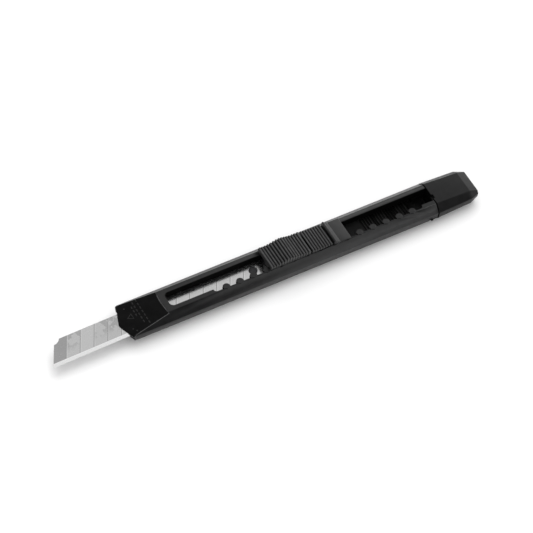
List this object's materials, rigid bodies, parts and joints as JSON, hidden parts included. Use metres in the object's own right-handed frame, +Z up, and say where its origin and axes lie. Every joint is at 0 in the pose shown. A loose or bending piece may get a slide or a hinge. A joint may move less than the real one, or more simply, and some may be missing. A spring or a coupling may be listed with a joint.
{
  "type": "snap-off utility knife",
  "caption": "Slim snap-off utility knife with a scored blade, ridged thumb slide and lock button, toothed slot and pull-off end cap.",
  "frame": {"origin": "under the middle of the knife, on the surface that its flat back lies on, with the blade partly out", "axes": "+X along the knife from the blade's tip to the end cap, +Y towards the blade's blunt back edge, +Z up through the thumb slide"},
  "size_m": [0.1588, 0.0134, 0.0101],
  "materials": {
    "black_plastic": "fine satin moulded black",
    "cap_plastic": "satin moulded black",
    "slide_plastic": "satin moulded black",
    "pad_plastic": "ridged satin black",
    "blade_steel": "ground and oiled",
    "carrier_steel": "stamped strip",
    "stud_steel": "turned",
    "rivet_steel": "plain",
    "pin_steel": "plain",
    "spring_steel": "spring temper"
  },
  "bodies": {
    "body": {"housing": "black_plastic"},
    "slide": {"slide_block": "slide_plastic", "thumb_pad": "pad_plastic", "carrier_rivets": "rivet_steel", "blade_carrier": "carrier_steel", "blade_stud": "stud_steel", "blade": "blade_steel", "button_pin": "pin_steel", "lock_spring": "spring_steel"},
    "button": {"lock_button": "pad_plastic"},
    "cap": {"end_cap": "cap_plastic"}
  },
  "joints": [
    {"name": "slide_travel", "type": "slide", "parent": "body", "child": "slide", "axis": [1, 0, 0], "range_m": [-0.035, 0.03], "deforming": ["lock_spring"]},
    {"name": "button_press", "type": "hinge", "parent": "slide", "child": "button", "pos_m": [0.0166, 0, 0.00685], "axis": [0, 1, 0], "range_deg": [0, 5], "stiffness_Nm_per_rad": 0.05, "springref_deg": -2.86},
    {"name": "cap_pull", "type": "slide", "parent": "body", "child": "cap", "axis": [1, 0, 0], "range_m": [0, 0.02]}
  ]
}
